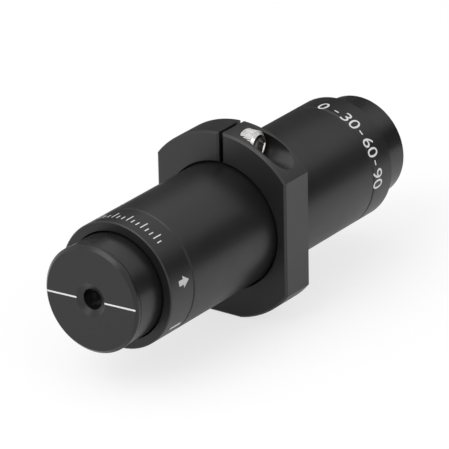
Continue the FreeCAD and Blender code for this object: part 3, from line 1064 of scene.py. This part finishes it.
@dataclass
class Housing(Assembly):
    """The tube and the two end rings that close it, with the marks on the rings."""

    tube_wall: float = 1.64
    spigot_wall: float = 1.04
    spigot_fit: float = 0.05
    spigot_length: float = 5.0
    ring_wall: float = 2.24
    throat_radius: float = 9.0
    neck_room: float = 7.4
    seam_chamfer: float = 0.34
    ring_chamfer: float = 0.25
    lock_hole: float = 1.47
    lock_inset: float = 3.8
    lock_angle: float = 225.0
    sharp: float = 50.0
    mark_height: float = 0.02
    mark_depth: float = 0.05
    scale_inset: float = 2.6
    dash_length: float = 0.4

    def build(self) -> None:
        """Builds the housing."""
        self.build_tube()
        for end in End:
            self.build_end_ring(end)
        self.build_front_marks()
        self.build_rear_marks()

    def build_tube(self) -> None:
        """Builds the long tube, thinner at both ends for the spigots."""
        low, high, radius = self.span("housing_tube")
        bore, seat, cut = radius - self.tube_wall, radius - self.spigot_wall, self.seam_chamfer
        first, last = low + self.spigot_length, high - self.spigot_length
        corners = [(bore, first), (seat, first), (seat, low)]
        corners += [(radius - cut, low), (radius, low + cut), (radius, high - cut)]
        corners += [(radius - cut, high), (seat, high), (seat, last), (bore, last)]
        piece = self.turn("tube_skin", corners, 0.05, "anodised_tube")
        self.keep(self.on_axis(piece), "housing", "anodised_tube", "housing_tube")

    def build_end_ring(self, end: End) -> None:
        """Builds one end ring with its spigot, its step for the cap and its lock screw's hole.

        Args:
            end: The ring's end.
        """
        node = f"{end.label}_end_ring"
        low, high, radius = self.span(node)
        way = end.value
        inner, face = (low, high) if way > 0 else (high, low)
        seam = inner + way * self.spigot_length
        spigot = radius - self.spigot_wall - self.spigot_fit
        bore = radius - self.ring_wall
        cut, edge = self.seam_chamfer, self.ring_chamfer
        floor = face - way * self.neck_room
        corners = [(self.throat_radius, inner), (spigot, inner), (spigot, seam)]
        corners += [(radius - cut, seam), (radius, seam + way * cut)]
        corners += [(radius, face - way * edge), (radius - edge, face)]
        corners += [(bore, face), (bore, floor), (self.throat_radius, floor)]
        piece = self.turn(f"{end.label}_ring_skin", corners, 0.06, "anodised_tube")
        lean = Matrix.Rotation(math.radians(self.lock_angle), 4, "Y")
        along = Matrix.Translation((0, face - way * self.lock_inset, 0))
        place = along @ lean @ Matrix.Translation((0, 0, radius))
        Cutter("lock_hole", 40, self.lock_hole, radius, place).cut(piece, self.sharp)
        self.keep(self.on_axis(piece), "housing", "anodised_tube", node)

    def build_front_marks(self) -> None:
        """Builds the input ring's marks: the beam's arrow, an index line and a plain scale."""
        low, _, radius = self.span("input_end_ring")
        arrow = [(77.6, -42.5), (77.6, -40.9), (74.8, -40.9), (80.1, -38.8), (85.4, -40.9)]
        arrow += [(82.4, -40.9), (82.4, -42.5)]
        line = [(123.6, -43.0), (126.4, -43.0), (126.4, -39.0), (123.6, -39.0)]
        outlines = (("beam_arrow", arrow, "faint_mark"), ("beam_index_line", line, "mark"))
        for name, outline, slot in outlines:
            mesh = wrapped_mesh(name, outline, radius, self.mark_height, self.mark_depth)
            self.mark(finished(name, mesh, self.finishes[slot]))
        scale = TickScale(
            radius,
            low + self.scale_inset,
            first_angle=-25.0,
            spacing=5.0,
            count=14,
            short=1.5,
            long=2.8,
        )
        self.mark(scale.build("input_ring_scale", self.finishes["mark"]))

    def build_rear_marks(self) -> None:
        """Builds the output ring's marks: plain numbers of degrees, with dashes between them."""
        low, high, radius = self.span("output_end_ring")
        middle, material = (low + high) / 2, self.finishes["mark"]
        numbers = tuple((str(degrees), float(degrees)) for degrees in range(0, 120, 30))
        ring = CurvedNumbers(radius + self.mark_height, middle, numbers)
        self.mark(ring.build("output_ring_numbers", material))
        dashes = TickScale(
            radius,
            middle - self.dash_length / 2,
            first_angle=14.5,
            spacing=30.0,
            count=3,
            short=self.dash_length,
            long=self.dash_length,
            width=1.2,
        )
        self.mark(dashes.build("output_ring_dashes", material))


@dataclass
class Head(Assembly):
    """One turning cap, with the cell, cube and keeper in it, and its lock screw."""

    end: End
    rim_step: float = 0.13
    rim_length: float = 0.77
    rim_chamfer: float = 0.75
    relief_width: float = 0.26
    relief_depth: float = 0.22
    plain_chamfer: float = 0.35
    neck_wall: float = 2.2
    neck_chamfer: float = 0.3
    neck_insert: float = 7.2
    front_wall: float = 2.5
    aperture: float = 2.5
    sink_width: float = 1.5
    sink_depth: float = 0.8
    groove_depth: float = 0.75
    groove_half: float = 1.62
    lock_inset: float = 3.8
    line_parts: tuple[Corner, ...] = ((-12.1, -3.9), (3.9, 12.35))
    line_width: float = 0.4
    line_depth: float = 0.06
    line_inset: float = 0.004
    line_turn: float = 1.97
    line_relief: float = 0.02

    def build(self) -> None:
        """Builds the head."""
        self.build_cap()
        if self.end is End.INPUT:
            self.build_line()
        slots = {
            "cell": "anodised_cap",
            "keeper": "anodised_cap",
            "polarizer_upper_prism": "prism_glass",
            "polarizer_lower_prism": "prism_glass",
            "lock_screw": "dark_screw",
        }
        for part, slot in slots.items():
            self.dress(f"{self.end.label}_{part}", slot)

    def build_cap(self) -> None:
        """Builds the cap: neck with groove, rim or plain edge, countersunk aperture and bore."""
        node = f"{self.end.label}_cap"
        low, high, outer = self.span(node)
        way = self.end.value
        back, face = (low, high) if way > 0 else (high, low)
        face -= way * self.line_relief
        rimmed = self.end is End.INPUT
        radius = outer - (self.rim_step if rimmed else 0.0)
        chamfer = self.rim_chamfer if rimmed else self.plain_chamfer
        bore, neck = radius - self.neck_wall, self.neck_chamfer
        groove, bottom = self.neck_insert - self.lock_inset, radius - self.groove_depth
        near = back + way * (groove - self.groove_half)
        far = back + way * (groove + self.groove_half)
        inner = face - way * (self.front_wall - self.line_relief)
        corners = [(bore, back), (radius - neck, back), (radius, back + way * neck)]
        corners += [(radius, near), (bottom, near), (bottom, far), (radius, far)]
        if rimmed:
            rim = face - way * (chamfer + self.rim_length)
            relief_back, relief = rim - way * self.relief_width, radius - self.relief_depth
            corners += [(radius, relief_back), (relief, relief_back), (relief, rim), (outer, rim)]
        corners += [(outer, face - way * chamfer), (outer - chamfer, face)]
        corners += [(self.aperture + self.sink_width, face)]
        corners += [(self.aperture, face - way * self.sink_depth)]
        corners += [(self.aperture, inner), (bore, inner)]
        piece = self.turn(f"{node}_skin", corners, 0.1, "anodised_cap")
        self.keep(self.on_axis(piece), f"{self.end.label}_head", "anodised_cap", node)

    def build_line(self) -> None:
        """Builds the white line across the cap's face, with its gap at the aperture."""
        low, _, _ = self.span("input_cap")
        middle = low + self.line_inset + self.line_depth / 2
        shape = bmesh.new()
        for start, finish in self.line_parts:
            made = bmesh.ops.create_cube(shape, size=1.0)["verts"]
            size = Matrix.Diagonal((finish - start, self.line_depth, self.line_width, 1))
            place = Matrix.Translation(((start + finish) / 2, middle, 0))
            bmesh.ops.transform(shape, matrix=place @ size, verts=made)
        turn = Matrix.Rotation(-math.radians(self.line_turn), 4, "Y")
        bmesh.ops.transform(shape, matrix=turn, verts=shape.verts)
        mesh = from_shape("axis_line", shape)
        self.mark(finished("axis_line", mesh, self.finishes["mark"]), "input_head")


@dataclass
class Clamp(Assembly):
    """The split ring and the screw that draws it together."""

    ring_merge: float = 1e-6
    ring_flat: float = 0.5
    ring_sharp: float = 24.0
    head_radius: float = 3.43
    head_height: float = 3.95
    head_chamfer: float = 0.7
    head_sharp: float = 35.0
    seat_slope: float = 0.01
    knurl_depth: float = 0.14
    knurl_start: float = 0.25
    knurl_sink: float = 0.01
    shank_radius: float = 2.08
    shank_length: float = 7.94
    point_chamfer: float = 0.2
    socket: float = 3.57
    socket_depth: float = 2.1
    floor_margin: float = 0.01
    mouth_margin: float = 0.05
    pitch: float = 0.79
    root_share: float = 0.62
    thread_start: float = 0.3
    thread_clearance: float = 1.4

    def build(self) -> None:
        """Builds the clamp."""
        self.build_ring()
        self.build_screw()

    def build_ring(self) -> None:
        """Builds the ring from a merged copy of its solid, its flat faces whole again."""
        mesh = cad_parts["slip_ring"].data.copy()
        shape = bmesh.new()
        shape.from_mesh(mesh)
        bmesh.ops.remove_doubles(shape, verts=shape.verts, dist=self.ring_merge)
        flat = math.radians(self.ring_flat)
        bmesh.ops.dissolve_limit(shape, angle_limit=flat, verts=shape.verts, edges=shape.edges)
        shape.to_mesh(mesh)
        shape.free()
        if mesh.has_custom_normals:
            mesh.attributes.remove(mesh.attributes["custom_normal"])
        mesh.shade_smooth()
        piece = finished("split_ring_skin", mesh, self.finishes["anodised_ring"])
        self.keep(weighted(piece, self.ring_sharp), "clamp", "anodised_ring", "slip_ring")

    def build_screw(self) -> None:
        """Builds the socket head screw along the local Z axis, then lays it across the slit."""
        top, chamfer = self.head_height, self.head_chamfer
        tip, point = -self.shank_length, self.point_chamfer
        root = self.shank_radius - self.pitch * self.root_share
        flat = self.head_radius - self.knurl_depth
        corners = [(0.0, tip), (root - point, tip), (root, point + tip)]
        corners += [(root, -self.seat_slope), (flat, 0.0)]
        corners += [(flat, top - chamfer + self.knurl_depth)]
        corners += [(self.head_radius - chamfer, top), (0.0, top)]
        blank = self.turn("clamp_screw_skin", corners, 0.06, "bright_screw", 96)
        blank.data.transform(Matrix.Rotation(math.radians(90), 4, "X"))
        self.cut_socket(blank)
        start, material = self.knurl_start, self.finishes["bright_screw"]
        ribs = Knurl(flat - self.knurl_sink, start, top - chamfer - start, self.knurl_depth)
        length = self.shank_length - self.thread_clearance
        thread = Thread(self.shank_radius, tip + self.thread_start, length, self.pitch)
        parts = {blank: ["clamp_screw"]}
        parts[ribs.build("screw_ribs", material)] = []
        parts[thread.build("screw_thread", material)] = []
        low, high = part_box("clamp_screw")
        seat = Matrix.Translation((high.x - top * MM, 0, (low.z + high.z) / 2))
        lay = seat @ Matrix.Rotation(math.radians(90), 4, "Y") @ Matrix.Scale(MM, 4)
        for part, nodes in parts.items():
            part.data.transform(lay)
            self.keep(part, "clamp_bolt", "bright_screw", *nodes)

    def cut_socket(self, piece: Piece) -> None:
        """Cuts the hexagon socket into the screw's head, and marks its faces for painted shade.

        Args:
            piece: The screw's blank, in millimetres along the local Z axis.
        """
        corner, top = self.socket / math.sqrt(3), self.head_height
        place = Matrix.Translation((0, 0, top))
        Cutter("socket", 6, corner, self.socket_depth * 2, place).cut(piece, self.head_sharp)
        low = top - self.socket_depth - self.floor_margin
        high = top - self.mouth_margin
        middles = [face.center for face in piece.data.polygons]
        # The socket's faces get painted shade, a darker copy of the screw's colour.
        inside = [float(math.hypot(*spot.xy) < corner and low < spot.z < high) for spot in middles]
        piece.data.attributes.new("recess", "FLOAT", "FACE").data.foreach_set("value", inside)


@dataclass
class Core(Assembly):
    """What the tube holds: both rotators, and the middle polarizer in its cell."""

    def build(self) -> None:
        """Dresses the core's nodes."""
        for end in End:
            for place in ("inner", "middle", "outer"):
                self.dress(f"{end.label}_{place}_magnet", "magnet")
            self.dress(f"{end.label}_crystal_sleeve", "sleeve_brass")
            self.dress(f"{end.label}_crystal", "crystal")
        self.dress("centre_cell", "anodised_cap")
        for half in ("upper", "lower"):
            self.dress(f"centre_polarizer_{half}_prism", "prism_glass")


# Studio


@dataclass(frozen=True)
class Card:
    """An upright card beside the object, by its way out from the middle. Lengths are metres."""

    name: str
    toward: Corner
    height: float
    half_width: float
    distance: float
    bottom: float = 0.0
    grey: float = 0.15
    speck: float = 0.03


@dataclass(frozen=True)
class Lamp:
    """A square lamp aimed at the object. Its place and its side are metres."""

    name: str
    place: Triple
    side: float
    watts: float


@dataclass
class Studio:
    """The floor, the light and the camera. Lengths of the floor and the lamps are metres."""

    finishes: Finishes
    cards: tuple[Card, ...] = (
        Card("dark_card", (0.66, 0.75), 0.44, 0.6, distance=0.9, bottom=0.02),
        Card("low_card", (0.66, 0.75), 0.04, 0.22, distance=0.3),
        Card("grey_card", (-0.65, 0.76), 0.15, 0.16, distance=0.16),
    )
    lamps: tuple[Lamp, ...] = (
        Lamp("main", (-0.12, -0.85, 0.8), side=0.8, watts=5.5),
        Lamp("overhead", (-0.35, -0.1, 0.95), side=0.7, watts=1.0),
        Lamp("side", (0.9, -0.2, 0.6), side=0.35, watts=0.7),
    )
    lamp_aim: Triple = (0, 0, 0.02)
    azimuth: float = 35.443
    elevation: float = 23.0237
    roll: float = -1.1566
    focal_pixels: float = 4334.997
    frame_pixels: float = 449.0
    aim_across: float = -0.8805
    aim_up: float = -0.8119
    aim_centre: Triple = (0.0, -2.02, 22.35)
    distance: float = 1002.708
    floor_size: float = 12.0
    floor_gap: float = 0.00005
    world_level: float = 0.62
    sensor_width: float = 36.0
    clip: Corner = (0.05, 50.0)

    def build(self) -> None:
        """Builds the studio."""
        self.build_floor()
        self.build_world()
        for lamp in self.lamps:
            self.build_lamp(lamp)
        for card in self.cards:
            self.build_card(card)
        self.build_camera()
        bpy.context.scene.view_settings.view_transform = "Standard"

    def sheet(self, name: str, spots: list, material: Material) -> Piece:
        """Makes one flat face.

        Args:
            name: The piece's name.
            spots: Its four corners, in metres.
            material: Its material.

        Returns:
            The piece.
        """
        mesh = bpy.data.meshes.new(name)
        mesh.from_pydata(spots, [], [(0, 1, 2, 3)])
        return finished(name, mesh, material)

    def build_floor(self) -> None:
        """Lays the floor just under the foot."""
        half, level = self.floor_size / 2, CAD_BOX[0].z - self.floor_gap
        spots = [(x * half, y * half, level) for x, y in SQUARE]
        self.sheet("floor", spots, self.finishes["floor"])

    def build_world(self) -> None:
        """Sets an even pale sky, plain white to the eye and in reflections."""
        world = bpy.data.worlds.new("studio")
        world.use_nodes = True
        bpy.context.scene.world = world
        nodes = Nodes(world.node_tree)
        seen = nodes.rays("Camera", "Glossy", "Transmission")
        ends = {"To_Min": self.world_level, "To_Max": 1.0}
        level = nodes.add("ShaderNodeMapRange", Value=seen, **ends)
        nodes.fill(nodes.tree.nodes["Background"], Color=WHITE, Strength=level)

    def build_lamp(self, lamp: Lamp) -> None:
        """Hangs a lamp.

        Args:
            lamp: The lamp's place, size and power.
        """
        light = bpy.data.lights.new(lamp.name, "AREA")
        light.size, light.energy = lamp.side, lamp.watts
        hung = new_object(lamp.name, light)
        way = Vector(self.lamp_aim) - Vector(lamp.place)
        hung.location, hung.rotation_euler = lamp.place, way.to_track_quat("-Z", "Y").to_euler()

    def build_card(self, card: Card) -> None:
        """Stands a card beside the object, which the round pieces reflect as a band.

        Args:
            card: The card's place and grey.
        """
        shader = Shader(card.name)
        tint = shader.tint(shader.noise(card.speck / MM), (card.grey,) * 3, 0.9, 1.1)
        paper = shader.finish(Base_Color=tint, Roughness=1.0, Specular_IOR_Level=0.0)
        toward = Vector((*card.toward, 0.0)).normalized()
        across = Vector((toward.y, -toward.x, 0.0))
        spots = []
        for side, upper in SQUARE:
            height = Vector((0, 0, card.height if upper > 0 else card.bottom))
            spots.append(toward * card.distance + across * side * card.half_width + height)
        piece = self.sheet(card.name, spots, paper)
        piece.visible_camera = piece.visible_diffuse = piece.visible_shadow = False

    def build_camera(self) -> None:
        """Places the camera at the photograph's angle and distance."""
        azimuth, elevation = math.radians(self.azimuth), math.radians(self.elevation)
        roll, out = math.radians(self.roll), math.cos(elevation)
        back = Vector((math.sin(azimuth) * out, -math.cos(azimuth) * out, math.sin(elevation)))
        level = Vector((math.cos(azimuth), math.sin(azimuth), 0))
        upright = back.cross(level)
        right = math.cos(roll) * level + math.sin(roll) * upright
        up = -math.sin(roll) * level + math.cos(roll) * upright
        aim = Vector(self.aim_centre) + right * self.aim_across + up * self.aim_up
        camera = bpy.data.cameras.new("camera")
        camera.sensor_width = self.sensor_width
        camera.lens = self.focal_pixels / self.frame_pixels * self.sensor_width
        camera.clip_start, camera.clip_end = self.clip
        eye = new_object("camera", camera)
        turn = Matrix((right, up, back)).transposed().to_4x4()
        eye.matrix_world = Matrix.Translation((aim + back * self.distance) * MM) @ turn
        bpy.context.scene.camera = eye


def main() -> None:
    """Builds the isolator and its studio, in order."""
    logging.basicConfig(level=logging.INFO, format="%(name)s: %(message)s")
    finishes = Finishes(axis_height())
    sections = [Clamp(finishes), Housing(finishes), Core(finishes)]
    sections += [Head(finishes, end) for end in End]
    for section in sections:
        section.build()
    Studio(finishes).build()


if __name__ == "__main__":
    main()
